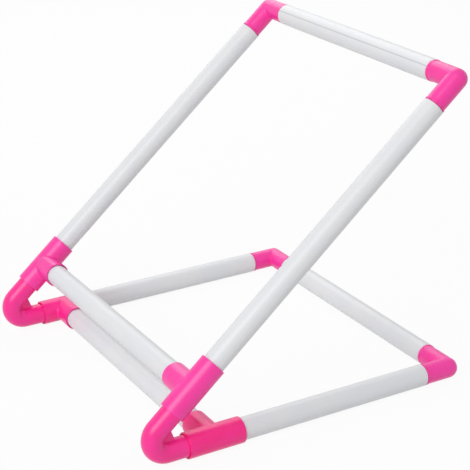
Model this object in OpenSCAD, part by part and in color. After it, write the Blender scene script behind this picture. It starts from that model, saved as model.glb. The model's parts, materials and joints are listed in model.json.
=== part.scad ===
// Table stand for an embroidery frame: plastic tubes pushed into moulded corner fittings.
// Two rectangles share a pair of hairpin bends, so the upper one leans back over the lower one.
// Millimetres. +Z is up, +X is the worker's right, +Y points away from the worker.
// The origin is the middle of the footprint, on the table.

/* [Tubes] */
// Outside diameter of every tube
tube_od = 20; // [16:0.5:26]
// Wall of every tube
tube_wall = 1.8; // [1.2:0.1:2.6]

/* [Frame] */
// Width, from axis to axis of the side tubes
frame_w = 309; // [180:1:500]
// Upper frame, from the axis of its front bar to the axis of its top bar
frame_len = 345.4; // [160:0.1:500]
// Base, from the axis of its front bar to the axis of its back bar
base_len = 246.9; // [200:0.1:500]
// Angle of the upper frame above the base
lean = 40.4; // [30:0.1:70]

/* [Tees] */
// Wall of a tee round its sockets
tee_wall = 1.65; // [1.2:0.05:3]
// Half the length of a tee's run
tee_half = 26.6; // [20:0.1:36]
// How far the branch sits from the middle of the run, towards the bend
branch_off = 1.4; // [0:0.1:3]
// From the axis of the run to the rim of the branch
tee_branch = 31; // [26:0.5:40]
// From the axis of the branch to the stop inside each run socket
run_stop = 4.5; // [2:0.5:8]
// Plastic between the run socket and the stop inside the branch socket
branch_web = 4; // [2:0.5:6]

/* [Hairpin bends] */
// How far the surface of a bend lies inside the surface of a tube
bend_slim = 0.3; // [0.2:0.1:1.5]
// Radius inside the turn
bend_inner = 3.1; // [1:0.1:10]
// Straight stretch of the lower arm, between the turn and the lower tee
lower_arm = 17.4; // [8:0.1:40]
// Straight stretch of the upper arm, between the turn and the upper tee
upper_arm = 18.6; // [8:0.1:40]
// Thickness of the web that fills the crotch between the arms
web_t = 4; // [2:0.5:8]
// From the point where the side axes meet to the free edge of the web
web_at = 43; // [36:0.5:48]
// Fillet where the free edge of the web meets each arm
web_fillet = 2; // [1:0.5:3]
// Depth of the groove between the arm and its plug, inside the mouth of the tee
plug_inset = 1; // [0.5:0.5:4]
// Wall of a bend's hollow plugs
plug_wall = 2.5; // [1.5:0.1:4]

/* [Elbows] */
// How far the surface of an elbow lies inside the surface of a tube
elbow_slim = 0.5; // [0.2:0.1:1.5]
// From the corner of the axes to the shoulder of a leg on the top or back bar
bar_leg = 31.5; // [24:0.5:45]
// From the corner of the axes to the shoulder of a top elbow's leg on its side tube
top_leg = 30; // [24:0.5:45]
// From the corner of the axes to the shoulder of a back elbow's leg on its side tube
back_leg = 27.5; // [24:0.5:45]
// Width of the lip round the end of each leg
lip_w = 1.5; // [1:0.1:3]
// How far the lip lies inside the surface of a tube
lip_slim = 0.1; // [0:0.1:1]
// Gap left between a shoulder and the end of its tube
shoulder_gap = 0.5; // [0.1:0.1:1]
// Length of the spigot that goes into the tube
spigot_len = 18; // [10:1:30]
// Wall of a hollow spigot
spigot_wall = 2; // [1.4:0.1:3]

/* [Fits and edges] */
// Clearance all round each push fit
fit = 0.05; // [0.02:0.01:0.1]
// Gap between the end of a tube or plug and the stop in its socket
end_play = 0.3; // [0.1:0.05:1]
// Chamfer on rims, shoulders and tube ends
edge = 0.5; // [0.2:0.1:0.8]
// How much wider a socket is at its mouth, all round
lead_in = 0.5; // [0.2:0.1:0.8]
// Depth over which the mouth of a socket tapers
lead_len = 2; // [1:0.5:4]

/* [Hidden] */
$fn = 96;
pink = [1.0, 0.25, 0.6];
white = [0.93, 0.93, 0.94];
// Overlap that keeps cuts and unions clean
eps = 0.01;
// Angle by which a bend's turn runs into each of its arms, so that they join as one solid
seam_angle = 0.1;

// Radii of the pieces and of the fits between them
tube_r = tube_od / 2;
tube_bore_r = tube_r - tube_wall;
socket_r = tube_r + fit;
tee_r = socket_r + tee_wall;
branch_stop = socket_r + branch_web;
bend_rad = tube_r - bend_slim;
bend_r = bend_rad + bend_inner;
elbow_rad = tube_r - elbow_slim;
lip_rad = tube_r - lip_slim;
spigot_r = tube_bore_r - fit;
spigot_bore_r = spigot_r - spigot_wall;
plug_bore_r = bend_rad - plug_wall;

// Both side axes of one side meet at a point in front of the bend.
// Places along either axis are counted from that point.
turn_angle = 180 - lean;
half_lean = lean / 2;
turn_at = bend_r / tan(half_lean);
run_near = tee_half - branch_off;
run_far = tee_half + branch_off;
lower_tee_at = turn_at + lower_arm + run_near;
upper_tee_at = turn_at + upper_arm + run_near;
top_at = upper_tee_at + frame_len;
back_at = lower_tee_at + base_len;
side_x = frame_w / 2;

// Outline of the upper half of a bend's web, with the line midway between the arms along +X.
// It runs along the arm's axis and comes back round the fillet to the free edge.
web_root = bend_rad - edge;
fillet_x = web_at + web_fillet;
fillet_y = (fillet_x * sin(half_lean) - web_root - web_fillet) / cos(half_lean);
axis_reach = fillet_x * cos(half_lean) + fillet_y * sin(half_lean);
fillet_steps = 6;
upper_web = concat(
    [turn_at * [cos(half_lean), sin(half_lean)], axis_reach * [cos(half_lean), sin(half_lean)]],
    [for (k = [0 : fillet_steps])
        let (a = 90 + half_lean + (90 - half_lean) * k / fillet_steps)
        [fillet_x, fillet_y] + web_fillet * [cos(a), sin(a)]]
);
web_points = len(upper_web);

// The tees are thicker than the back bar, so the base sits with its back a little lower.
// It touches the table under the back rims of the lower tees and all along the back bar.
tee_foot = lower_tee_at + run_far - edge;
foot_span = back_at - tee_foot;
sit_tilt = acos(tube_r / norm([foot_span, tee_r])) - atan2(foot_span, tee_r);
rise = back_at * sin(sit_tilt) + tube_r;

// Front and back of the footprint, and its middle
front_y = turn_at * cos(sit_tilt) + bend_r * sin(sit_tilt) - bend_r - bend_rad;
back_y = back_at * cos(sit_tilt) + tube_r;
foot_mid = (front_y + back_y) / 2;

// Stands a piece where it is in the finished stand
module placed() {
    translate([0, -foot_mid, rise]) rotate([-sit_tilt, 0, 0]) children();
}

// Turns local +Z along a side axis, at x and at a distance along the axis
module along(angle, x, at) {
    rotate([angle, 0, 0]) translate([x, at, 0]) rotate([-90, 0, 0]) children();
}

// Turns local +Z across the stand, with the middle of the bar at the origin
module across(angle, at) {
    rotate([angle, 0, 0]) translate([0, at, 0]) rotate([0, 90, 0]) children();
}

// Round rod from z = 0 to h with a chamfer at each end
module rod(r, h, start = 0, end = 0) {
    rotate_extrude()
        polygon([
            [0, 0], [r - start, 0], [r, start],
            [r, h - end], [r - end, h], [0, h]
        ]);
}

// Socket cut from z = stop up through the rim, with a tapered mouth
module socket(stop, rim) {
    translate([0, 0, stop]) cylinder(r = socket_r, h = rim - stop + eps);
    translate([0, 0, rim - lead_len])
        cylinder(r1 = socket_r, r2 = socket_r + lead_in, h = lead_len + eps);
}

// Plastic tube, standing on z = 0
module tube(len) {
    color(white)
        difference() {
            rod(tube_r, len, edge, edge);
            translate([0, 0, -eps]) cylinder(r = tube_bore_r, h = len + 2 * eps);
        }
}

// Tee with its run along Z, its branch along +X and its far end at the positive end of the run
module tee() {
    color(pink)
        difference() {
            union() {
                translate([0, 0, -run_near]) rod(tee_r, run_near + run_far, edge, edge);
                rotate([0, 90, 0]) rod(tee_r, tee_branch, 0, edge);
            }
            socket(run_stop, run_far);
            rotate([180, 0, 0]) socket(run_stop, run_near);
            rotate([0, 90, 0]) {
                socket(branch_stop, tee_branch);
                cylinder(r = tube_bore_r, h = branch_stop + eps);
            }
            translate([0, 0, -run_stop - eps])
                cylinder(r = tube_bore_r, h = 2 * (run_stop + eps));
        }
}

// One straight arm of a bend, turned in one piece from the turn to the end of its plug
module bend_arm(len) {
    plug_at = len + plug_inset;
    plug_end = len + run_near - run_stop - end_play;
    rotate_extrude()
        polygon([
            [0, 0], [bend_rad, 0], [bend_rad, plug_at], [tube_r, plug_at + bend_slim],
            [tube_r, plug_end - edge], [tube_r - edge, plug_end], [0, plug_end]
        ]);
}

// Straight bore that cores an arm from the end of its plug almost to the turn
module arm_core(len) {
    core_start = plug_wall;
    core_end = len + run_near - run_stop;
    translate([0, 0, core_start]) cylinder(r = plug_bore_r, h = core_end - core_start);
}

// Puts something that runs along +Z at the lower or the upper end of a bend's turn
module at_lower_end() {
    translate([bend_r, 0, 0]) rotate([-90, 0, 0]) children();
}

module at_upper_end() {
    rotate([0, 0, -turn_angle]) translate([bend_r, 0, 0]) rotate([90, 0, 0]) children();
}

// Web in the plane of a bend's arms, with the meeting point of the side axes at the origin
module web() {
    rotate([90, 0, 90])
        linear_extrude(height = web_t, center = true)
        rotate([0, 0, half_lean])
        polygon(concat(
            upper_web,
            [for (k = [web_points - 1 : -1 : 0]) [upper_web[k].x, -upper_web[k].y]]
        ));
}

// Hairpin bend of one side, from the base axis round to the upper axis
module bend(x) {
    color(pink)
        translate([x, turn_at, bend_r])
        rotate([0, 90, 0])
        difference() {
            union() {
                rotate([0, 0, -turn_angle - seam_angle])
                    rotate_extrude(angle = turn_angle + 2 * seam_angle)
                    translate([bend_r, 0]) circle(r = bend_rad);
                at_lower_end() bend_arm(lower_arm);
                at_upper_end() bend_arm(upper_arm);
                rotate([0, -90, 0]) translate([0, -turn_at, -bend_r]) web();
            }
            at_lower_end() arm_core(lower_arm);
            at_upper_end() arm_core(upper_arm);
        }
}

// One leg of an elbow along +Z: body, lip and spigot, starting at the corner
module elbow_leg(len) {
    rod(elbow_rad, len);
    translate([0, 0, len - lip_w]) rod(lip_rad, lip_w, edge, edge);
    translate([0, 0, len - edge]) rod(spigot_r, spigot_len + edge, 0, edge);
}

// Bore of one leg, from the corner out through the end of its spigot
module elbow_core(len) {
    cylinder(r = spigot_bore_r, h = len + spigot_len + eps);
}

// Elbow with its corner at the origin, its leg for the side tube along +Z and its bar leg along +X.
// A ball rounds the corner outside and inside, so the wall is even.
module elbow(side_leg) {
    color(pink)
        difference() {
            union() {
                sphere(r = elbow_rad);
                elbow_leg(side_leg);
                rotate([0, 90, 0]) elbow_leg(bar_leg);
            }
            sphere(r = spigot_bore_r);
            elbow_core(side_leg);
            rotate([0, 90, 0]) elbow_core(bar_leg);
        }
}

// Side +1 is the right of the stand and -1 is its left
module tee_at_side(angle, side, at) {
    placed() along(angle, side * side_x, at)
        mirror([side > 0 ? 1 : 0, 0, 0]) tee();
}

// An elbow's legs point back along the side axis and in along the cross bar
module elbow_at_side(angle, side, at, side_leg) {
    placed() along(angle, side * side_x, at)
        mirror([side > 0 ? 1 : 0, 0, 0]) mirror([0, 0, 1]) elbow(side_leg);
}

// Side tube from the stop in its tee to the shoulder of its elbow
module side_tube(angle, side, tee_at, shoulder_at) {
    start = tee_at + run_stop + end_play;
    placed() along(angle, side * side_x, start)
        tube(shoulder_at - shoulder_gap - start);
}

// Cross bar of a given length, with its middle on the stand's middle plane
module cross_bar(angle, at, len) {
    placed() across(angle, at) translate([0, 0, -len / 2]) tube(len);
}

tee_bar_len = frame_w - 2 * (branch_stop + end_play);
elbow_bar_len = frame_w - 2 * (bar_leg + shoulder_gap);

module lower_left_tee() tee_at_side(0, -1, lower_tee_at);
module lower_right_tee() tee_at_side(0, 1, lower_tee_at);
module upper_left_tee() tee_at_side(lean, -1, upper_tee_at);
module upper_right_tee() tee_at_side(lean, 1, upper_tee_at);
module left_bend() placed() bend(-side_x);
module right_bend() placed() bend(side_x);
module top_left_elbow() elbow_at_side(lean, -1, top_at, top_leg);
module top_right_elbow() elbow_at_side(lean, 1, top_at, top_leg);
module back_left_elbow() elbow_at_side(0, -1, back_at, back_leg);
module back_right_elbow() elbow_at_side(0, 1, back_at, back_leg);
module base_left_tube() side_tube(0, -1, lower_tee_at, back_at - back_leg);
module base_right_tube() side_tube(0, 1, lower_tee_at, back_at - back_leg);
module upper_left_tube() side_tube(lean, -1, upper_tee_at, top_at - top_leg);
module upper_right_tube() side_tube(lean, 1, upper_tee_at, top_at - top_leg);
module lower_front_bar() cross_bar(0, lower_tee_at, tee_bar_len);
module upper_front_bar() cross_bar(lean, upper_tee_at, tee_bar_len);
module top_bar() cross_bar(lean, top_at, elbow_bar_len);
module back_bar() cross_bar(0, back_at, elbow_bar_len);

lower_left_tee();
lower_right_tee();
upper_left_tee();
upper_right_tee();
left_bend();
right_bend();
top_left_elbow();
top_right_elbow();
back_left_elbow();
back_right_elbow();
base_left_tube();
base_right_tube();
upper_left_tube();
upper_right_tube();
lower_front_bar();
upper_front_bar();
top_bar();
back_bar();
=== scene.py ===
# %% [markdown]
# # A stand for an embroidery frame
#
# The real object is a knock-down stand for needlework. Eight lengths of white plastic tube are
# pushed into ten glossy pink fittings. The upper rectangle holds the cloth, and a hairpin bend on
# each side leans it back over the rectangle that stands on the table.
#
# The solid model arrives as a fixed frame, in metres, with +Z up. Nothing in it is moved. The tubes
# keep their solids and get a finish. The fittings get new meshes, because a moulding has soft blends
# and rounded rims that its solid leaves sharp.

# %% Load the fixed frame
import json
import math

import bmesh
import bpy
import numpy as np
from mathutils import Matrix, Vector


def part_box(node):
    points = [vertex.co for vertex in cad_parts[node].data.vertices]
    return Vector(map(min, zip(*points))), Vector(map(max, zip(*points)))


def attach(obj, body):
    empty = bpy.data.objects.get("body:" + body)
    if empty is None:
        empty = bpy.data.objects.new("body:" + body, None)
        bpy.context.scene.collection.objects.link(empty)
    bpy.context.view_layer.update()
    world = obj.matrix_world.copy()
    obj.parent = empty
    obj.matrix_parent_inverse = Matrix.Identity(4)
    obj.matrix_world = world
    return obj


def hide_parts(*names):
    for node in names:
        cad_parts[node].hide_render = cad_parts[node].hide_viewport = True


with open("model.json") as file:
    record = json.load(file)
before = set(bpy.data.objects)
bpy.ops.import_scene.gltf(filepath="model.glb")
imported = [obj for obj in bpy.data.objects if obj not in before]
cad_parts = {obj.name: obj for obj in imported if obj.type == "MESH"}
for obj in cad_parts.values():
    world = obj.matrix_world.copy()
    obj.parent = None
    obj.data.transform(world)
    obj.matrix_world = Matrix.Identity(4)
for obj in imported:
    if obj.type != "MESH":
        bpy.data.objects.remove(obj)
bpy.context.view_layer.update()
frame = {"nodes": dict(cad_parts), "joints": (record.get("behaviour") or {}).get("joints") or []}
MM = 0.001

# %% [markdown]
# ## Take the sizes from the frame
#
# Every new piece has to sit exactly where its solid is. So the script measures the solids with three
# small instruments. A caliper reads the widest corner about an axis between two places along it, a
# bore gauge reads the narrowest, and a rule tells how far along the axis a solid keeps a thickness.
# Each looks only so far from the axis, so that it doesn't read the fitting's other leg. A little
# slack catches the corners that lie just at a measured place. The side axes and the bar axes come
# from the joints, which name a direction or a point.

# %% Instruments
JOINTS = {joint["name"]: joint for joint in frame["joints"]}
ACROSS = Vector((1, 0, 0))
REACH = 14 * MM
SLACK = 0.1 * MM
SIDES = {"left": -1, "right": 1}


def corners_about(node, origin, axis):
    """How far along an axis the corners of a node lie, and how far from it, where that is near."""
    mesh = frame["nodes"][node].data
    flat = np.empty(len(mesh.vertices) * 3)
    mesh.vertices.foreach_get("co", flat)
    offset = flat.reshape(-1, 3) - np.array(origin)
    along = offset @ np.array(axis)
    away = np.linalg.norm(offset - np.outer(along, np.array(axis)), axis=1)
    return along[away < REACH], away[away < REACH]


def caliper(node, origin, axis, low, high):
    """The largest radius of a node about an axis, between two places along it."""
    along, away = corners_about(node, origin, axis)
    return float(away[(along >= low) & (along <= high)].max())


def bore_gauge(node, origin, axis, low, high):
    """The smallest radius of a node about an axis, between two places along it."""
    along, away = corners_about(node, origin, axis)
    return float(away[(along >= low) & (along <= high)].min())


def rule(node, origin, axis, wider_than):
    """How far along an axis a node reaches with corners that lie farther out than a radius."""
    along, away = corners_about(node, origin, axis)
    return float(along[away > wider_than].max())


# %% Axes of the stand
base_way = Vector(JOINTS["base_tubes_pull_out"]["axis"]).normalized()
upper_way = Vector(JOINTS["upper_frame_lifts_off"]["axis"]).normalized()
lower_bar_at = Vector(JOINTS["lower_bar_turn"]["pos_m"])
upper_bar_at = Vector(JOINTS["upper_front_bar_turn"]["pos_m"])
top_bar_at = Vector(JOINTS["top_bar_turn"]["pos_m"])
back_bar_at = Vector(JOINTS["back_bar_turn"]["pos_m"])
lean = upper_way.angle(base_way)

low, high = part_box("base_right_tube")
side_x = (low.x + high.x) / 2
tube_r = caliper("top_bar", top_bar_at, ACROSS, 0, side_x)
tube_bore_r = bore_gauge("top_bar", top_bar_at, ACROSS, 0, side_x)
print(f"lean {math.degrees(lean):.2f} degrees, tubes {2 * tube_r / MM:.2f} mm thick with a"
      f" {2 * tube_bore_r / MM:.2f} mm bore, side axes {2 * side_x / MM:.1f} mm apart")

# %% [markdown]
# ## The camera
#
# The camera takes the stand as a square product shot was taken, with a long lens from the worker's
# right, a little above the stand. The camera's place was found by fitting the edges of all the tubes,
# so here it is simply set down: a place, a bearing, a tilt down and a slight roll.

# %% Camera
CAMERA_AT = Vector((1.12532, -0.60755, 0.64587))
CAMERA_BEARING = math.radians(60.931)
CAMERA_DOWN = math.radians(22.273)
CAMERA_ROLL = math.radians(-1.582)
LENS_MM = 113.88
SENSOR_MM = 36.0

camera_data = bpy.data.cameras.new("camera")
camera_data.lens = LENS_MM
camera_data.sensor_width = SENSOR_MM
camera_data.clip_start = 0.05
camera_data.clip_end = 60.0
camera = bpy.data.objects.new("camera", camera_data)
bpy.context.scene.collection.objects.link(camera)
turn = Matrix.Rotation(CAMERA_BEARING, 4, "Z") @ Matrix.Rotation(math.pi / 2 - CAMERA_DOWN, 4, "X")
camera.matrix_world = Matrix.Translation(CAMERA_AT) @ turn @ Matrix.Rotation(CAMERA_ROLL, 4, "Z")
bpy.context.scene.camera = camera
print("camera looks along", [round(v, 4) for v in -camera.matrix_world.to_3x3().col[2]])

# %% [markdown]
# ## Shader maths as Python
#
# Materials here are built from sums and products of simple fields, such as a distance to a seam or
# a noise. Wiring Math nodes by hand hides the formula. A small class that holds a socket and adds
# the nodes when it meets an operator lets the formula stand in the code as it is meant.

# %% The socket class


class Field:
    """An output socket. Arithmetic on it adds Math nodes to its tree."""

    def __init__(self, tree, socket):
        self.tree = tree
        self.socket = socket

    def node(self, kind, settings, inputs, output=0):
        """Adds any node: its settings first, then the values or links of its sockets."""
        made = self.tree.nodes.new(kind)
        for name, setting in settings.items():
            setattr(made, name, setting)
        for name, given in inputs.items():
            if isinstance(given, Field):
                self.tree.links.new(given.socket, made.inputs[name])
            else:
                made.inputs[name].default_value = given
        return Field(self.tree, made.outputs[output])

    def maths(self, operation, *given):
        """Adds one Math node."""
        return self.node("ShaderNodeMath", {"operation": operation}, dict(enumerate(given)))

    def __add__(self, other):
        return self.maths("ADD", self, other)

    def __sub__(self, other):
        return self.maths("SUBTRACT", self, other)

    def __mul__(self, other):
        return self.maths("MULTIPLY", self, other)

    def __radd__(self, other):
        return self.maths("ADD", other, self)

    def __rsub__(self, other):
        return self.maths("SUBTRACT", other, self)

    def size(self):
        """The value without its sign."""
        return self.maths("ABSOLUTE", self)

    def ease(self, low, high):
        """Rises smoothly from 0 to 1 between low and high."""
        settings = {"interpolation_type": "SMOOTHSTEP"}
        return self.node("ShaderNodeMapRange", settings, {0: self, 1: low, 2: high})

    def mix(self, first, second):
        """A colour between first, where this is 0, and second, where this is 1."""
        settings = {"data_type": "RGBA"}
        inputs = {"Factor": self, 6: first, 7: second}
        return self.node("ShaderNodeMix", settings, inputs, output=2)

    def noise(self, scale, detail, roughness, seed=0.0):
        """Four-dimensional noise at this vector, whose fourth place is a seed."""
        settings = {"noise_dimensions": "4D"}
        inputs = {"Vector": self, "W": seed, "Scale": scale, "Detail": detail}
        inputs["Roughness"] = roughness
        return self.node("ShaderNodeTexNoise", settings, inputs)

    def dot(self, direction):
        """The length of this vector along a direction."""
        settings = {"operation": "DOT_PRODUCT"}
        inputs = {0: self, 1: tuple(direction)}
        return self.node("ShaderNodeVectorMath", settings, inputs, output="Value")

    def shift(self, place):
        """This vector as seen from another origin."""
        return self.node("ShaderNodeVectorMath", {"operation": "SUBTRACT"}, {0: self, 1: tuple(place)})

    def bump(self, height, relief, strength):
        """A normal that a height bends, as if the surface rose by so much where the height is 1."""
        inputs = {"Strength": strength, "Distance": relief, "Height": height}
        return self.node("ShaderNodeBump", {}, inputs)

    def vector(self, x, y, z):
        """A vector from three fields."""
        return self.node("ShaderNodeCombineXYZ", {}, {"X": x, "Y": y, "Z": z})


def new_material(name):
    """An empty node material, its shader and the piece's own coordinates as a Field."""
    material = bpy.data.materials.new(name)
    material.use_nodes = True
    tree = material.node_tree
    shader = tree.nodes["Principled BSDF"]
    place = tree.nodes.new("ShaderNodeTexCoord")
    return material, shader, Field(tree, place.outputs["Object"])


def feed(field, shader, name):
    """Links a Field to a socket of the shader."""
    field.tree.links.new(field.socket, shader.inputs[name])


print("shader class ready")

# %% [markdown]
# ## White tube
#
# The tubes are cut from extruded plastic pipe. Close up, extrusion leaves faint streaks that run the
# whole length, and handling leaves fine scuffs. The colour is a cool off-white with a soft gloss.
#
# A noise is squeezed along the tube's own axis to make the streaks. Each tube has its own axis,
# start and seed, so the material is a function that is called once for each tube.

# %% White tube plastic
WHITE = (0.80, 0.805, 0.82, 1)
WHITE_COOL = (0.775, 0.79, 0.82, 1)
WHITE_STREAK = (0.72, 0.725, 0.74, 1)
# Painted shade that darkens the groove along the top bar.
PAINTED_CREASE_SHADE = (0.52, 0.525, 0.54, 1)
CREASE_HALF_WIDTH = 0.5 * MM
STREAK_STRETCH = 0.012
SCUFF_STRETCH = 0.25
FINE_STREAKS_PER_M = 1500
BROAD_STREAKS_PER_M = 260
CLOUDS_PER_M = 28
TUBE_SCUFFS_PER_M = 900
TUBE_ROUGHNESS = 0.34
TUBE_RELIEF = 0.05 * MM


def tube_plastic(name, origin, axis, seed, crease_way=None):
    """White pipe plastic whose streaks run along an axis, with a dark groove of painted shade where one is
    named.
    """
    material, shader, place = new_material(name)
    axis = Vector(axis).normalized()
    first = axis.orthogonal().normalized()
    second = axis.cross(first)
    local = place.shift(origin)
    along = local.dot(axis)
    u = local.dot(first)
    v = local.dot(second)
    groove_and_painted_shade = 0.0
    # A fine groove on the named side. The same mask feeds the bump and darkens the colour as painted
    # shade.
    if crease_way:
        side = local.dot(axis.cross(crease_way))
        front = local.dot(crease_way).ease(0, tube_r / 2)
        groove_and_painted_shade = (1 - side.size().ease(CREASE_HALF_WIDTH * 0.4, CREASE_HALF_WIDTH * 1.6)) * front

    lengthwise = place.vector(u, v, along * STREAK_STRETCH)
    fine = lengthwise.noise(FINE_STREAKS_PER_M, 3, 0.6, seed)
    broad = lengthwise.noise(BROAD_STREAKS_PER_M, 2, 0.5, seed + 7)
    cloud = place.vector(u, v, along).noise(CLOUDS_PER_M, 3, 0.5, seed + 13)
    rubbed = place.vector(u, v, along * SCUFF_STRETCH)
    scuff = rubbed.noise(TUBE_SCUFFS_PER_M, 4, 0.7, seed + 21).ease(0.60, 0.72)

    tint = cloud.ease(0.35, 0.65).mix(WHITE, WHITE_COOL)
    streaks = fine.ease(0.50, 0.78) * 0.35 + broad.ease(0.45, 0.75) * 0.25
    colour = streaks.mix(tint, WHITE_STREAK)
    # Painted shade in the top bar's groove.
    if crease_way:
        colour = (groove_and_painted_shade * 0.8).mix(colour, PAINTED_CREASE_SHADE)
    feed(colour, shader, "Base Color")
    feed(TUBE_ROUGHNESS + fine * 0.10 + scuff * 0.14, shader, "Roughness")
    height = fine * 0.6 + broad * 1.2 - scuff * 0.25 - groove_and_painted_shade * 2
    feed(place.bump(height, TUBE_RELIEF, 0.5), shader, "Normal")
    return material


print("white tube plastic ready")

# %% [markdown]
# ## Pink fittings
#
# The fittings are injection moulded in a hot pink. Their surface is glossy with a trace of orange
# peel. The two halves of the mould meet in the plane that holds both legs of the fitting, where
# they leave a fine seam. The origin of each fitting lies in that plane, so the seam is only a
# distance along one direction. Pale cloudy flow marks break up the colour a little.
#
# The lower right tee gets a deeper pink than the other fittings, and the lower left tee and the bends
# a slightly deeper one. These are lit and shaded copies of one plastic: the deeper pinks of the lower
# tees and the bends are painted shade against the pale one of the upper tees and the elbows. Each copy
# is three colours: the plain one, the deep one of the flow marks, and the pale one of scuffs and of
# the seam.

# %% Pink moulded plastic
# Lit and shaded copies of one pink: "middle" and "deep" are painted shade for the lower fittings.
LIT_AND_SHADED_PINKS = {
    "pale": ((1.0, 0.048, 0.405, 1), (0.97, 0.036, 0.35, 1), (1.0, 0.105, 0.48, 1)),
    "middle": ((1.0, 0.028, 0.335, 1), (0.97, 0.019, 0.285, 1), (1.0, 0.075, 0.41, 1)),
    "deep": ((1.0, 0.016, 0.285, 1), (0.97, 0.010, 0.235, 1), (1.0, 0.055, 0.35, 1)),
}
SEAM_HALF_WIDTH = 0.16 * MM
PEEL_PER_M = 1100
FLOW_MARKS_PER_M = 55
PINK_SCUFFS_PER_M = 700
PINK_ROUGHNESS = 0.27
PINK_RELIEF = 0.06 * MM


def moulded_plastic(name, seed, shade_of_pink, seam_way):
    """Glossy pink plastic with a mould seam in the plane at right angles to a direction."""
    # The pink is picked by how shaded the fitting is, so its depth is painted shade.
    plain_pink, deep_pink, pale_pink = LIT_AND_SHADED_PINKS[shade_of_pink]
    material, shader, place = new_material(name)
    off_seam = place.dot(seam_way).size()
    seam = 1 - off_seam.ease(SEAM_HALF_WIDTH * 0.5, SEAM_HALF_WIDTH * 2)
    peel = place.noise(PEEL_PER_M, 2, 0.5, seed)
    flow = place.noise(FLOW_MARKS_PER_M, 4, 0.55, seed + 3)
    scuff = place.noise(PINK_SCUFFS_PER_M, 5, 0.7, seed + 9).ease(0.62, 0.74)

    colour = flow.ease(0.30, 0.70).mix(deep_pink, plain_pink)
    colour = (scuff * 0.25 + seam * 0.20).mix(colour, pale_pink)
    feed(colour, shader, "Base Color")
    feed(PINK_ROUGHNESS + flow * 0.10 + scuff * 0.16 + seam * 0.10, shader, "Roughness")
    height = peel * 0.35 + seam * 1.0 - scuff * 0.2
    feed(place.bump(height, PINK_RELIEF, 0.6), shader, "Normal")
    return material


print("pink plastic ready")

# %% [markdown]
# ## Rings and lofts
#
# A bend or an elbow is a round section carried along a flat path. The mesh is a row of rings, and
# each ring is joined to the next by four-sided faces. A table of stations says how far along the
# path a ring sits and how wide it is, so a rim, a lip or a groove is only a few more stations.

# %% Mesh helpers
AROUND = 96
SHARP_ANGLE = math.radians(40)
MERGE_WITHIN = 0.5e-6
RIM_STEPS = 5
LIP_STEPS = 4
ROOT_STEPS = 3


def finish_mesh(work, name):
    """Turns a bmesh into a mesh with outward faces, smooth except at real edges."""
    bmesh.ops.remove_doubles(work, verts=work.verts, dist=MERGE_WITHIN)
    bmesh.ops.recalc_face_normals(work, faces=work.faces)
    mesh = bpy.data.meshes.new(name)
    work.to_mesh(mesh)
    work.free()
    mesh.shade_smooth()
    mesh.set_sharp_from_angle(angle=SHARP_ANGLE)
    return mesh


def loft(name, rings, closed):
    """Joins a row of rings into one skin. A closed row meets itself, an open one gets flat ends."""
    work = bmesh.new()
    made = [[work.verts.new(point) for point in ring] for ring in rings]
    count = len(made[0])
    pairs = list(zip(made, made[1:]))
    if closed:
        pairs.append((made[-1], made[0]))
    else:
        work.faces.new(made[0])
        work.faces.new(made[-1])
    for one, two in pairs:
        for k in range(count):
            work.faces.new((one[k], one[(k + 1) % count], two[(k + 1) % count], two[k]))
    return finish_mesh(work, name)


def ring(centre, normal, radius):
    """A ring of points round a centre, spanned by a normal in the plane y = 0 and the Y axis."""
    sideways = Vector((0, 1, 0))
    points = []
    for k in range(AROUND):
        angle = 2 * math.pi * k / AROUND
        points.append(centre + (normal * math.cos(angle) + sideways * math.sin(angle)) * radius)
    return points


def rounded(start, corner, end, steps):
    """Stations from start to end that round off the corner between them."""
    out = []
    for k in range(steps + 1):
        t = k / steps
        near, middle, far = (1 - t) * (1 - t), 2 * t * (1 - t), t * t
        out.append(tuple(near * a + middle * b + far * c for a, b, c in zip(start, corner, end)))
    return out


def placement_at(origin, z_way, x_way):
    """A placement whose local Z and X point along two directions at right angles."""
    z = Vector(z_way).normalized()
    x = Vector(x_way).normalized()
    y = z.cross(x)
    return Matrix.Translation(origin) @ Matrix((x, y, z)).transposed().to_4x4()


def compare(piece, node):
    """Prints how far a piece's box differs from its solid's box, in millimetres."""
    world = np.array([piece.matrix_world @ vertex.co for vertex in piece.data.vertices])
    low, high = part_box(node)
    gap = max(np.abs(world.min(0) - np.array(low)).max(), np.abs(world.max(0) - np.array(high)).max())
    print(f"{piece.name}: {len(piece.data.vertices)} corners, box within {gap / MM:.2f} mm of the solid's")


def add_fitting(mesh, node, placement, body, shade_of_pink, seed):
    """Puts a copy of a mesh in place of a solid, on the solid's own body, and gives it its plastic.

    The turn goes into the corners and the move into the object, so the piece's box stays square to
    the world. The mesh's own Y axis is at right angles to the plane of the seam.
    """
    turned_mesh = mesh.copy()
    turned_mesh.transform(placement.to_3x3().to_4x4())
    piece = bpy.data.objects.new(f"moulded_{node}", turned_mesh)
    bpy.context.scene.collection.objects.link(piece)
    piece.matrix_world = Matrix.Translation(placement.to_translation())
    seam_way = placement.to_3x3().col[1]
    piece.data.materials.append(moulded_plastic(f"pink_{node}", seed, shade_of_pink, seam_way))
    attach(piece, body)
    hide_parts(node)
    bpy.context.view_layer.update()
    compare(piece, node)


print("mesh helpers ready")

# %% [markdown]
# ## The tees
#
# Each side has two tees. A run along the side tube has a socket at each end, and a branch towards
# the middle takes the cross bar. Run and branch are equally thick, so their surfaces cross along
# two half ellipses. A ball that rolls along that crossing, touching both, sweeps the blend that the
# mould has. Its centre stays at the same distance from both axes, so every point of the blend has a
# short formula and the faces can follow the two cylinders with no bevel tool.
#
# The branch sits a little nearer to the rim on the bend's side, so the run has a near and a far
# half. The sockets are turned solids, cut out with the Manifold boolean, because what they share
# inside the tee is not worth a formula.

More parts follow.
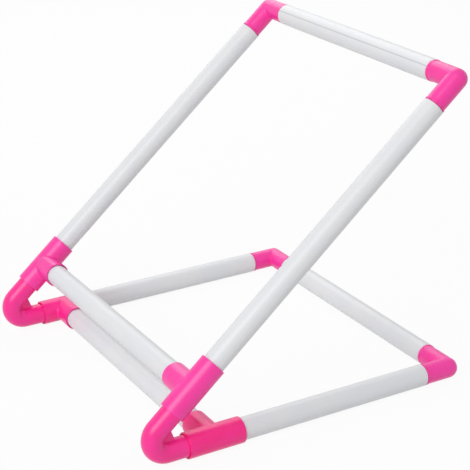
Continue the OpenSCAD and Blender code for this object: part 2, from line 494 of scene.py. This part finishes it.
# %% Tee sizes
tee_node = "upper_left_tee"
left_axis_at = upper_bar_at - ACROSS * side_x
run_far = rule(tee_node, left_axis_at, upper_way, 0)
run_near = rule(tee_node, left_axis_at, -upper_way, 0)
tee_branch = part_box(tee_node)[1].x + side_x
PAST_CHAMFER = 1 * MM
MOUTH_DEPTH = 2 * MM
RUN_STOP = 4.5 * MM
BRANCH_STOP_PAST_RUN = 4 * MM
RIM_ROUND = 0.5 * MM
BLEND_R = 2.2 * MM
tee_r = caliper(tee_node, left_axis_at, upper_way, run_far - PAST_CHAMFER, run_far)
socket_r = bore_gauge(tee_node, left_axis_at, upper_way, run_far - MOUTH_DEPTH - SLACK, run_far)
mouth_r = bore_gauge(tee_node, left_axis_at, upper_way, run_far - SLACK, run_far)
branch_stop = socket_r + BRANCH_STOP_PAST_RUN
print(f"tee radius {tee_r / MM:.2f}, run {run_near / MM:.1f} and {run_far / MM:.1f},"
      f" branch {tee_branch / MM:.1f}, socket radius {socket_r / MM:.2f},"
      f" at its mouth {mouth_r / MM:.2f} mm")

# %% Where two legs cross
CROSSING_STEPS = 8
NEARLY_ZERO = 1e-6


def on_run(place, radius, angle):
    """A point of a leg that lies along Z."""
    return Vector((radius * math.cos(angle), radius * math.sin(angle), place))


def on_branch(place, radius, angle):
    """A point of a leg that lies along X, in the same strip."""
    return Vector((place, radius * math.sin(angle), radius * math.cos(angle)))


def crossing(radius, blend, angle):
    """Leads a strip from the run to the branch: round a rolling ball inside, over a ball outside."""
    c = math.cos(angle)
    s = math.sin(angle)
    steps = [k / CROSSING_STEPS for k in range(CROSSING_STEPS + 1)]
    if c < NEARLY_ZERO:
        turns = [t * math.pi / 2 for t in steps]
        return [Vector((radius * c * math.cos(t), radius * s, radius * c * math.sin(t))) for t in turns]
    ball = Vector((c, s, c)) * (radius + blend)
    to_run = Vector((-c, -s, 0))
    to_branch = Vector((0, -s, -c))
    return [ball + to_run.slerp(to_branch, t) * blend for t in steps]


def straight(start, end, steps):
    """Places between two ends, without the ends."""
    return [start + (end - start) * k / steps for k in range(1, steps)]


print("crossing ready")

# %% Tee skin
WALL_STEPS = 10
INSIDE_SOCKET = 0.5


def rim_stations(end, radius):
    """Places and radii from inside the flat end of a rim to the straight wall below it."""
    edge = rounded((end, radius - RIM_ROUND), (end, radius), (end - RIM_ROUND, radius), RIM_STEPS)
    return [(end, socket_r * INSIDE_SOCKET)] + edge


def mirrored(points):
    """The same points on the other half of the run."""
    return [Vector((p.x, p.y, -p.z)) for p in points]


def tee_column(angle, run_end):
    """One strip of the tee's skin, from a rim of the run over the blend to the branch's rim."""
    bottom = (tee_r + BLEND_R) * math.cos(angle)
    column = [on_run(z, r, angle) for z, r in rim_stations(run_end, tee_r)]
    column += [on_run(z, tee_r, angle) for z in straight(run_end - RIM_ROUND, bottom, WALL_STEPS)]
    column += crossing(tee_r, BLEND_R, angle)
    column += [on_branch(x, tee_r, angle) for x in straight(bottom, tee_branch - RIM_ROUND, WALL_STEPS)]
    return column + [on_branch(x, r, angle) for x, r in reversed(rim_stations(tee_branch, tee_r))]


def back_half(angle, run_end):
    """One strip of the tee's back, from a rim of the run to just before its middle."""
    half = [on_run(z, r, angle) for z, r in rim_stations(run_end, tee_r)]
    return half + [on_run(z, tee_r, angle) for z in straight(run_end - RIM_ROUND, 0, WALL_STEPS)]


def back_column(angle):
    """One strip of the tee's back, from its far rim to its near one."""
    near = mirrored(reversed(back_half(angle, run_near)))
    return back_half(angle, run_far) + [on_run(0, tee_r, angle)] + near


def strip_faces(work, columns):
    """Four-sided faces between neighbouring columns of points."""
    rows = [[work.verts.new(point) for point in column] for column in columns]
    for one, two in zip(rows, rows[1:]):
        for k in range(len(one) - 1):
            work.faces.new((one[k], one[k + 1], two[k + 1], two[k]))


def tee_skin():
    """The outside of a tee, closed with flat ends: run along Z, its far half up, branch along +X."""
    work = bmesh.new()
    quarter = AROUND // 4
    front = [math.pi / 2 * k / quarter for k in range(-quarter, quarter + 1)]
    back = [math.pi / 2 + math.pi * k / (2 * quarter) for k in range(2 * quarter + 1)]
    strip_faces(work, [tee_column(angle, run_far) for angle in front])
    strip_faces(work, [mirrored(tee_column(angle, run_near)) for angle in front])
    strip_faces(work, [back_column(angle) for angle in back])
    bmesh.ops.remove_doubles(work, verts=work.verts, dist=MERGE_WITHIN)
    bmesh.ops.dissolve_degenerate(work, edges=work.edges, dist=MERGE_WITHIN)
    bmesh.ops.holes_fill(work, edges=work.edges, sides=0)
    return finish_mesh(work, "tee_skin")


skin = tee_skin()
print("tee skin:", len(skin.vertices), "corners,", len(skin.polygons), "faces")

# %% Socket cutters


def turned(name, profile, axis):
    """A solid turned from a profile of places along an axis and radii there."""
    normal = Vector((1, 0, 0)) if axis.z else Vector((0, 0, 1))
    return loft(name, [ring(axis * place, normal, radius) for place, radius in profile], closed=False)


MOUTH_ROUND = 0.2 * MM
OVERSHOOT = 1 * MM


def mouth(rim):
    """Stations of a socket's tapered mouth, from inside the socket to beyond the rim."""
    taper = (mouth_r - socket_r) / MOUTH_DEPTH
    inner = (rim - MOUTH_ROUND, mouth_r - taper * MOUTH_ROUND)
    outer = (rim, mouth_r + MOUTH_ROUND)
    edge = rounded(inner, (rim, mouth_r), outer, ROOT_STEPS)
    return [(rim - MOUTH_DEPTH, socket_r)] + edge + [(rim + OVERSHOOT, mouth_r + MOUTH_ROUND)]


def socket(stop, rim):
    """Stations of a socket, from its stop out through its mouth."""
    return [(stop, tube_bore_r), (stop, socket_r)] + mouth(rim)


near_socket = [(-place, radius) for place, radius in reversed(socket(RUN_STOP, run_near))]
run_profile = near_socket + socket(RUN_STOP, run_far)
branch_profile = [(0, tube_bore_r)] + socket(branch_stop, tee_branch)
run_cutter = turned("run_cutter", run_profile, Vector((0, 0, 1)))
branch_cutter = turned("branch_cutter", branch_profile, Vector((1, 0, 0)))


def combine(mesh, others, operation, name):
    """Takes other meshes from a mesh, or joins them to it, and returns the result as a new mesh."""
    piece = bpy.data.objects.new("work", mesh)
    bpy.context.scene.collection.objects.link(piece)
    tools = []
    for other in others:
        tool = bpy.data.objects.new("tool", other)
        bpy.context.scene.collection.objects.link(tool)
        tools.append(tool)
        step = piece.modifiers.new("combine", "BOOLEAN")
        step.operation = operation
        step.solver = "MANIFOLD"
        step.object = tool
    bpy.context.view_layer.update()
    graph = bpy.context.evaluated_depsgraph_get()
    done = bpy.data.meshes.new_from_object(piece.evaluated_get(graph))
    for used in [piece] + tools:
        bpy.data.objects.remove(used)
    done.name = name
    done.materials.clear()
    done.shade_smooth()
    done.set_sharp_from_angle(angle=SHARP_ANGLE)
    return done


tee_mesh = combine(skin, [run_cutter, branch_cutter], "DIFFERENCE", "tee")
print("tee:", len(tee_mesh.vertices), "corners,", len(tee_mesh.polygons), "faces")

# %% Place the tees
# Painted shade: the lower tees get deeper pinks than the upper ones.
LOWER_SHADED_PINKS = {"left": "middle", "right": "deep"}
UPPER_PINKS = {"left": "pale", "right": "pale"}
seed = 0
for side, sign in SIDES.items():
    for level, bar_at, way, body, pinks_by_shade in (
        ("lower", lower_bar_at, base_way, "base_front", LOWER_SHADED_PINKS),
        ("upper", upper_bar_at, upper_way, "upper_front", UPPER_PINKS),
    ):
        node = f"{level}_{side}_tee"
        placement = placement_at(bar_at + ACROSS * sign * side_x, way, -ACROSS * sign)
        seed += 1
        add_fitting(tee_mesh, node, placement, body, pinks_by_shade[side], seed)

# %% [markdown]
# ## The hairpin bends
#
# A bend starts inside the front socket of the lower tee, turns by 180 degrees less the lean round a
# small inner radius and ends inside the front socket of the upper tee. Its arms are a little
# slimmer than the tubes, and their thickness is read at the neck, just inside the tee. There a
# short groove begins, and behind it they grow to the tube's diameter. The plugs are hollow, as
# mouldings of even wall are.
#
# A thin web fills the crotch between the arms and keeps them from spreading. It is a plate whose
# outline is drawn once and stacked at a few heights, drawn in a little at the outer ones so that
# its free edge comes out rounded. It reaches into the walls of the arms, and the Manifold boolean
# joins the two.

# %% Bend sizes
meet = Matrix(((base_way.y, -upper_way.y), (base_way.z, -upper_way.z)))
gap = Vector((upper_bar_at.y - lower_bar_at.y, upper_bar_at.z - lower_bar_at.z))
lower_from_apex, upper_from_apex = -(meet.inverted() @ gap)
GROOVE = 1.0 * MM
END_PLAY = 0.3 * MM
PLUG_WALL = 2.5 * MM
CORE_START = 2.5 * MM
LOWER_ARM = 17.4 * MM
NECK = 1.2 * GROOVE
left_lower_at = lower_bar_at - ACROSS * side_x
arm_r = caliper("left_bend", left_lower_at, base_way, -run_near, -run_near + NECK)
turn_at = lower_from_apex - run_near - LOWER_ARM
upper_arm = upper_from_apex - run_near - turn_at
half_lean = lean / 2
turn_r = turn_at * math.tan(half_lean)
half_turn = math.pi / 2 - half_lean
half_turn_len = turn_r * half_turn
plug_end = run_near - RUN_STOP - END_PLAY
core_r = arm_r - PLUG_WALL
print(f"side axes meet {lower_from_apex / MM:.2f} mm before the lower tees, turn radius"
      f" {turn_r / MM:.2f} mm, arms {2 * arm_r / MM:.1f} mm thick and {LOWER_ARM / MM:.1f} and"
      f" {upper_arm / MM:.1f} mm long")

# %% Bend mesh
TURN_STEPS = 28
ARM_STEPS = 4


def bend_place(distance):
    """Centre and normal of the path at a distance from the middle of the turn."""
    angle = max(-1.0, min(1.0, distance / half_turn_len)) * half_turn
    outward = Vector((-math.cos(angle), 0, math.sin(angle)))
    ahead = Vector((math.sin(angle), 0, math.cos(angle)))
    beyond = max(0.0, abs(distance) - half_turn_len) * (1 if distance > 0 else -1)
    return outward * turn_r + ahead * beyond, outward


def half_bend(arm):
    """Stations from the middle of the turn along an arm to the end of its plug and up its bore."""
    to_plug = half_turn_len + arm + GROOVE
    to_end = half_turn_len + arm + plug_end
    step = tube_r - arm_r
    half = [(half_turn_len * k / TURN_STEPS, arm_r) for k in range(TURN_STEPS + 1)]
    half += [(place, arm_r) for place in straight(half_turn_len, to_plug, ARM_STEPS)]
    half.append((to_plug, arm_r))
    slope_end = (to_plug + step / 2, tube_r - step / 2)
    half += rounded(slope_end, (to_plug + step, tube_r), (to_plug + 2 * step, tube_r), ROOT_STEPS)
    rim = (to_end - RIM_ROUND, tube_r), (to_end, tube_r), (to_end, tube_r - RIM_ROUND)
    half += rounded(*rim, LIP_STEPS)
    return half + [(to_end, core_r), (half_turn_len + CORE_START, core_r)]


lower_half = [(-place, radius) for place, radius in reversed(half_bend(LOWER_ARM)[1:])]
stations = lower_half + half_bend(upper_arm)
bend_rings = [ring(*bend_place(place), radius) for place, radius in stations]
bend_skin = loft("bend_skin", bend_rings, closed=False)
print("bend skin:", len(bend_skin.vertices), "corners")

# %% Web of a bend
WEB_HALF = 2.0 * MM
WEB_AT = 43.0 * MM
WEB_FILLET = 2.0 * MM
WEB_ROOT = 1.0 * MM
WEB_ROUND = 0.8 * MM
FILLET_STEPS = 8
WEB_EDGE_STEPS = 6
CAP_DRAWN_IN = 1.25


def web_outline(y, drawn_in):
    """The web's outline at one height, with its free edge drawn in. The turn's centre is the origin."""
    apex_back = turn_r / math.sin(half_lean)
    off_axis = Vector((-math.sin(half_lean), 0, math.cos(half_lean)))
    root = [math.pi - half_turn * k / FILLET_STEPS for k in range(FILLET_STEPS + 1)]
    inner_r = turn_r - arm_r + WEB_ROOT
    upper = [Vector((math.cos(angle), 0, math.sin(angle))) * inner_r for angle in root]
    fillet_x = WEB_AT + WEB_FILLET
    touch = math.sqrt(arm_r * arm_r - WEB_HALF * WEB_HALF)
    fillet_z = (fillet_x * math.sin(half_lean) - touch - WEB_FILLET) / math.cos(half_lean)
    centre = Vector((fillet_x - apex_back, 0, fillet_z))
    upper.append(centre + off_axis * (WEB_FILLET + WEB_ROOT))
    for k in range(FILLET_STEPS + 1):
        angle = math.pi / 2 + half_lean + half_turn * k / FILLET_STEPS
        upper.append(centre + Vector((math.cos(angle), 0, math.sin(angle))) * (WEB_FILLET + drawn_in))
    lower = [Vector((p.x, 0, -p.z)) for p in reversed(upper[1:])]
    return [p + Vector((0, y, 0)) for p in upper + lower]


web_corner = (WEB_HALF, WEB_ROUND), (WEB_HALF, 0), (WEB_HALF - WEB_ROUND, 0)
web_edge = [(WEB_HALF, WEB_ROUND * CAP_DRAWN_IN)] + rounded(*web_corner, WEB_EDGE_STEPS)
web_heights = [(-y, drawn_in) for y, drawn_in in web_edge] + list(reversed(web_edge))
web_mesh = loft("web", [web_outline(y, drawn_in) for y, drawn_in in web_heights], closed=False)
bend_mesh = combine(bend_skin, [web_mesh], "UNION", "bend")
print("bend:", len(bend_mesh.vertices), "corners, web", len(web_mesh.vertices))

# %% Place the bends
apex = lower_bar_at - base_way * lower_from_apex
middle_way = (base_way + upper_way).normalized()
up_way = ACROSS.cross(middle_way)
turn_centre = apex + middle_way * (turn_r / math.sin(half_lean))
for side, sign in SIDES.items():
    node = f"{side}_bend"
    placement = placement_at(turn_centre + ACROSS * sign * side_x, up_way, middle_way)
    seed += 1
    # The bends get the middle pink, a painted shade.
    add_fitting(bend_mesh, node, placement, "bends", "middle", seed)

# %% [markdown]
# ## The elbows
#
# Four elbows close the far corners of the two rectangles. An elbow doesn't go round its tubes, as a
# tee does. It has a hollow spigot on each leg that goes inside the tube, and the tube is pushed up
# to the shoulder where the body begins. A narrow gap is left there, in which the spigot shows as a
# dark line. The body is slimmer than the tubes and has a narrow lip round the end of each leg. Its
# legs run straight to the corner, where a ball of the same radius rounds the outside and the inside
# stays crisp. The legs on the side tubes are shorter than those on the bars, and shortest at the
# back, so there are two meshes.
#
# The same strips as the tee's make the skin. They go all the way round, so each one passes either
# through the inner corner or over the ball, and comes back through the bore as a closed loop.

# %% Elbow sizes
elbow_node = "top_left_elbow"
top_corner = top_bar_at - ACROSS * side_x
back_corner = back_bar_at - ACROSS * side_x
bar_leg = rule(elbow_node, top_corner, ACROSS, tube_bore_r)
top_leg = rule(elbow_node, top_corner, -upper_way, tube_bore_r)
back_leg = rule("back_left_elbow", back_corner, -base_way, tube_bore_r)
bar_end = rule(elbow_node, top_corner, ACROSS, 0)
spigot_len = bar_end - bar_leg
LIP_W = 1.5 * MM
CRISP_BLEND = 0.7 * MM
LIP_ROUND = 0.35 * MM
ROOT_ROUND = 0.3 * MM
lip_at = bar_leg - LIP_W
lip_r = caliper(elbow_node, top_corner, ACROSS, lip_at + SLACK, bar_leg)
body_r = bore_gauge(elbow_node, top_corner, ACROSS, lip_at - SLACK, lip_at + SLACK)
spigot_r = caliper(elbow_node, top_corner, ACROSS, bar_leg + SLACK, bar_end)
spigot_bore_r = bore_gauge(elbow_node, top_corner, ACROSS, bar_leg, bar_end)
print(f"elbow legs {bar_leg / MM:.1f}, {top_leg / MM:.1f} and {back_leg / MM:.1f} mm long,"
      f" body {2 * body_r / MM:.1f} and lip {2 * lip_r / MM:.1f} mm thick,"
      f" spigots {spigot_len / MM:.1f} mm long, radii {spigot_r / MM:.2f} and {spigot_bore_r / MM:.2f}")

# %% Elbow mesh
BORE_STEPS = 5


def leg_profile(leg):
    """Places and radii from the mouth of a leg's bore back over its spigot and lip to its body."""
    end = leg + spigot_len
    lip = leg - LIP_W
    tip = (end, spigot_r - RIM_ROUND), (end, spigot_r), (end - RIM_ROUND, spigot_r)
    shoulder = (leg + ROOT_ROUND, spigot_r), (leg, spigot_r), (leg, spigot_r + ROOT_ROUND)
    lip_front = (leg, lip_r - LIP_ROUND), (leg, lip_r), (leg - LIP_ROUND, lip_r)
    lip_back = (lip + LIP_ROUND, lip_r), (lip, lip_r), (lip, lip_r - LIP_ROUND)
    body_root = (lip, body_r + ROOT_ROUND), (lip, body_r), (lip - ROOT_ROUND, body_r)
    profile = [(end, spigot_bore_r)]
    profile += rounded(*tip, LIP_STEPS)
    profile += rounded(*shoulder, ROOT_STEPS)
    profile += rounded(*lip_front, LIP_STEPS)
    profile += rounded(*lip_back, LIP_STEPS)
    return profile + rounded(*body_root, ROOT_STEPS)


def elbow_column(angle, side_leg):
    """One strip of an elbow: in along one leg, round the corner, out, and back through the bore."""
    side_profile = leg_profile(side_leg)
    bar_profile = leg_profile(bar_leg)
    corner = max(0.0, math.cos(angle))
    bottom = (body_r + CRISP_BLEND) * corner
    column = [on_run(z, r, angle) for z, r in side_profile]
    column += [on_run(z, body_r, angle) for z in straight(side_profile[-1][0], bottom, WALL_STEPS)]
    column += crossing(body_r, CRISP_BLEND, angle)
    column += [on_branch(x, body_r, angle) for x in straight(bottom, bar_profile[-1][0], WALL_STEPS)]
    column += [on_branch(x, r, angle) for x, r in reversed(bar_profile)]
    inner = (spigot_bore_r + CRISP_BLEND) * corner
    column += [on_branch(x, spigot_bore_r, angle) for x in straight(bar_end, inner, BORE_STEPS)]
    column += reversed(crossing(spigot_bore_r, CRISP_BLEND, angle))
    side_end = side_leg + spigot_len
    return column + [on_run(z, spigot_bore_r, angle) for z in straight(inner, side_end, BORE_STEPS)]


elbow_meshes = {}
for level, side_leg in (("top", top_leg), ("back", back_leg)):
    columns = [elbow_column(2 * math.pi * k / AROUND, side_leg) for k in range(AROUND)]
    elbow_meshes[level] = loft(f"{level}_elbow", columns, closed=True)
    print(level, "elbow:", len(elbow_meshes[level].vertices), "corners")

# %% Place the elbows
for side, sign in SIDES.items():
    for level, bar_at, way, body in (
        ("top", top_bar_at, upper_way, "upper_back"),
        ("back", back_bar_at, base_way, "base_back"),
    ):
        node = f"{level}_{side}_elbow"
        placement = placement_at(bar_at + ACROSS * sign * side_x, -way, -ACROSS * sign)
        seed += 1
        add_fitting(elbow_meshes[level], node, placement, body, "pale", seed)

# %% [markdown]
# ## Finish the tubes
#
# The tubes' solids have the right shape, so they stay and only get their plastic. Each one's streaks
# run along its own axis. The top bar has a fine groove along the side that faces the worker, darkened
# with painted shade.

# %% Tube finish
CREASE_TURN = math.radians(17)
TUBE_SEED_STEP = 3.7
frame_normal = ACROSS.cross(upper_way)
CREASES = {"top_bar": Matrix.Rotation(CREASE_TURN, 3, "X") @ frame_normal}
TUBES = {
    "base_left_tube": (lower_bar_at - ACROSS * side_x, base_way),
    "base_right_tube": (lower_bar_at + ACROSS * side_x, base_way),
    "upper_left_tube": (upper_bar_at - ACROSS * side_x, upper_way),
    "upper_right_tube": (upper_bar_at + ACROSS * side_x, upper_way),
    "lower_front_bar": (lower_bar_at, ACROSS),
    "upper_front_bar": (upper_bar_at, ACROSS),
    "top_bar": (top_bar_at, ACROSS),
    "back_bar": (back_bar_at, ACROSS),
}
for node, (origin, axis) in TUBES.items():
    seed += 1
    finish = tube_plastic(f"white_{node}", origin, axis, seed * TUBE_SEED_STEP, CREASES.get(node))
    tube = frame["nodes"][node]
    tube.data.materials.clear()
    tube.data.materials.append(finish)
    print("finished", node)

# %% [markdown]
# ## Table, backdrop and light
#
# The stand was shown on pure white, with hardly any shadow. The floor is a plain white sheet that
# looks white to the camera, partly by a glow of its own, and keeps a faint shadow. The world is
# white to the camera and a soft grey to everything that it lights. A large soft lamp above and to
# the left, and a weak one behind the stand, give the tubes their gentle shading from bright tops to
# grey undersides.

# %% Floor
FLOOR_HALF = 8.0
FLOOR_COLOUR = (0.86, 0.86, 0.86, 1)
FLOOR_ROUGHNESS = 0.9
CAMERA_WHITE = 0.93
PURE_WHITE = (1, 1, 1, 1)
floor_mesh = bpy.data.meshes.new("floor")
floor_corners = [(x * FLOOR_HALF, y * FLOOR_HALF, 0) for x, y in ((-1, -1), (1, -1), (1, 1), (-1, 1))]
floor_mesh.from_pydata(floor_corners, [], [(0, 1, 2, 3)])
floor = bpy.data.objects.new("floor", floor_mesh)
bpy.context.scene.collection.objects.link(floor)

floor_material, floor_shader, _ = new_material("floor_white")
tree = floor_material.node_tree
floor_shader.inputs["Base Color"].default_value = FLOOR_COLOUR
floor_shader.inputs["Roughness"].default_value = FLOOR_ROUGHNESS
floor_shader.inputs["Specular IOR Level"].default_value = 0.0
SEEN_RAYS = ("Is Camera Ray", "Is Glossy Ray", "Is Transmission Ray")


def seen_directly(tree):
    """1 where a ray comes straight from the camera, from a gloss or through glass, else 0."""
    rays = tree.nodes.new("ShaderNodeLightPath")
    camera_ray, glossy, through = (Field(tree, rays.outputs[name]) for name in SEEN_RAYS)
    return camera_ray.maths("MAXIMUM", camera_ray.maths("MAXIMUM", camera_ray, glossy), through)


seen = seen_directly(tree)
glow = seen.node("ShaderNodeEmission", {}, {"Color": PURE_WHITE, "Strength": 1.0})
sheet = Field(tree, floor_shader.outputs[0])
shown = seen.node("ShaderNodeMixShader", {}, {0: seen * CAMERA_WHITE, 1: sheet, 2: glow})
tree.links.new(shown.socket, tree.nodes["Material Output"].inputs["Surface"])
floor_mesh.materials.append(floor_material)
print("floor", 2 * FLOOR_HALF, "m square")

# %% World
SKY_LEVEL = 0.42
world = bpy.data.worlds.new("studio")
bpy.context.scene.world = world
world.use_nodes = True
tree = world.node_tree
clear = seen_directly(tree)
sky = tree.nodes["Background"]
sky.inputs["Color"].default_value = PURE_WHITE
tree.links.new((clear * (1 - SKY_LEVEL) + SKY_LEVEL).socket, sky.inputs["Strength"])
print("sky level", SKY_LEVEL)

# %% Lamps
MIDDLE = Vector((0, 0, 0.12))
LAMPS = {
    "key": {"offset": (1.49, -2.59, 2.51), "size": 2.4, "power": 82.0},
    "fill": {"offset": (-1.216, 0.443, 1.086), "size": 1.2, "power": 7.8},
}


def softbox(name, offset, size, power):
    """A square soft lamp, in metres and watts, that stands off the stand's middle and faces it."""
    data = bpy.data.lights.new(name, "AREA")
    data.shape = "SQUARE"
    data.size = size
    data.energy = power
    lamp = bpy.data.objects.new(name, data)
    bpy.context.scene.collection.objects.link(lamp)
    place = MIDDLE + Vector(offset)
    lamp.location = place
    lamp.rotation_euler = (MIDDLE - place).to_track_quat("-Z", "Y").to_euler()


for name, lamp_settings in LAMPS.items():
    softbox(name, **lamp_settings)
bpy.context.scene.view_settings.view_transform = "Standard"
print("lamps placed")

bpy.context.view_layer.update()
